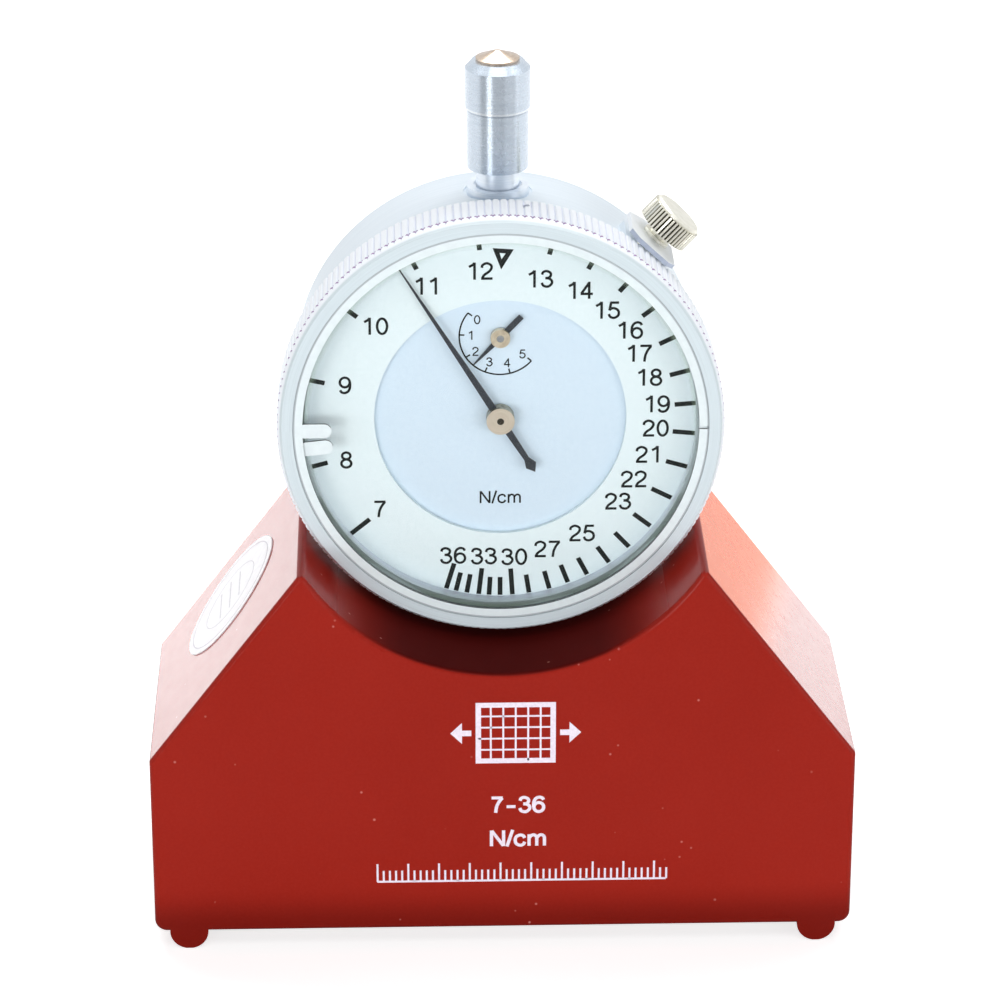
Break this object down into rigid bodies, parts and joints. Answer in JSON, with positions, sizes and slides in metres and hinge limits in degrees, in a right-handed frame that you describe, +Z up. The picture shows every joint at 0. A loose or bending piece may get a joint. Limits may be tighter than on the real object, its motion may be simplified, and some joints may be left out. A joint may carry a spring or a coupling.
{
  "type": "dial tension gauge",
  "caption": "Mesh tension gauge: a heavy painted block on rails with a dial indicator clamped in its trough and a sprung measuring bar underneath.",
  "frame": {"origin": "on the ground under the middle of the block", "axes": "+X to the reader's right, +Y away from the reader of the dial, +Z up along the spindle"},
  "size_m": [0.091, 0.0356, 0.114],
  "materials": {
    "red_enamel": "gloss enamel",
    "label_film": "smooth film",
    "dark_steel": "black oxide",
    "satin_silver": "fine satin silver",
    "steel": "ground",
    "bright_chrome": "polished",
    "screw_steel": "plain",
    "brass": "satin",
    "hub_brass": "turned",
    "pinion_steel": "hardened",
    "spring_steel": "bright",
    "nickel": "nickel plated",
    "pointer_black": "matt black",
    "dial_blue": "matt",
    "dial_white": "matt",
    "crystal_clear": "clear"
  },
  "bodies": {
    "base": {"base_block": "red_enamel", "foot_rail_left": "red_enamel", "foot_rail_right": "red_enamel", "inspection_label": "label_film", "stem_clamp_screw": "dark_steel", "dial_case": "satin_silver", "back_cover": "satin_silver", "back_cover_screws": "screw_steel", "stem": "steel", "upper_bushing": "steel", "middle_plate": "brass", "plate_screws": "screw_steel", "plate_pillars": "steel", "front_plate": "brass", "front_plate_screws": "screw_steel", "rear_bridge": "steel", "bridge_pillars": "steel", "bridge_screws": "screw_steel", "guide_bracket": "steel", "spring_post": "steel", "hairspring": "spring_steel", "hairspring_stud": "brass", "dial_plate": "dial_blue"},
    "spindle_group": {"spindle": "steel", "guide_pin": "steel", "lifting_cap": "bright_chrome", "cap_screw": "brass", "measuring_bar": "steel", "return_spring": "spring_steel"},
    "rack_arbor": {"rack_pinion": "pinion_steel", "rack_wheel": "brass"},
    "centre_arbor": {"centre_pinion": "pinion_steel", "main_pointer": "pointer_black", "pointer_hub": "hub_brass"},
    "counter_group": {"counter_arbor": "pinion_steel", "counter_wheel": "brass", "small_pointer": "pointer_black", "small_hub": "hub_brass"},
    "bezel": {"bezel_ring": "satin_silver", "bezel_screws": "screw_steel", "scale_ring": "dial_white", "crystal": "crystal_clear"},
    "upper_limit": {"limit_ring_upper": "spring_steel"},
    "lower_limit": {"limit_ring_lower": "spring_steel"},
    "bezel_clamp": {"clamp_plate": "nickel"},
    "clamp_knob": {"bezel_clamp_screw": "nickel"}
  },
  "joints": [
    {"name": "spindle_slide", "type": "slide", "parent": "base", "child": "spindle_group", "axis": [0, 0, 1], "range_m": [-0.0023, 0.0025], "stiffness_N_per_m": 250, "springref_m": -0.01, "deforming": ["return_spring"]},
    {"name": "rack_arbor_turn", "type": "hinge", "parent": "base", "child": "rack_arbor", "pos_m": [-0.00309, 0.00895, 0.0585], "axis": [0, 1, 0], "range_deg": [-91, 84]},
    {"name": "pointer_turn", "type": "hinge", "parent": "base", "child": "centre_arbor", "pos_m": [0, 0.00895, 0.069], "axis": [0, 1, 0], "range_deg": [-835, 905]},
    {"name": "counter_turn", "type": "hinge", "parent": "base", "child": "counter_group", "pos_m": [0, 0.00895, 0.07994], "axis": [0, 1, 0], "range_deg": [-91, 84]},
    {"name": "bezel_turn", "type": "hinge", "parent": "base", "child": "bezel", "pos_m": [0, 0.00895, 0.069], "axis": [0, 1, 0], "continuous": true},
    {"name": "limit_ring_upper_turn", "type": "hinge", "parent": "bezel", "child": "upper_limit", "pos_m": [0, 0.00895, 0.069], "axis": [0, 1, 0], "continuous": true},
    {"name": "limit_ring_lower_turn", "type": "hinge", "parent": "bezel", "child": "lower_limit", "pos_m": [0, 0.00895, 0.069], "axis": [0, 1, 0], "continuous": true},
    {"name": "bezel_clamp_lift", "type": "slide", "parent": "base", "child": "bezel_clamp", "axis": [0.6833, 0, 0.7302], "range_m": [0, 0.0005]},
    {"name": "clamp_screw_turn", "type": "hinge", "parent": "bezel_clamp", "child": "clamp_knob", "pos_m": [0.02118, 0.00425, 0.09164], "axis": [0.6833, 0, 0.7302], "range_deg": [-1, 361]}
  ],
  "couplings": [
    {"joint": "rack_arbor_turn", "follows": "spindle_slide", "rad_per_m": -628.32},
    {"joint": "pointer_turn", "follows": "spindle_slide", "rad_per_m": 6283.2},
    {"joint": "counter_turn", "follows": "spindle_slide", "rad_per_m": -628.32},
    {"joint": "clamp_screw_turn", "follows": "bezel_clamp_lift", "rad_per_m": 12566}
  ]
}
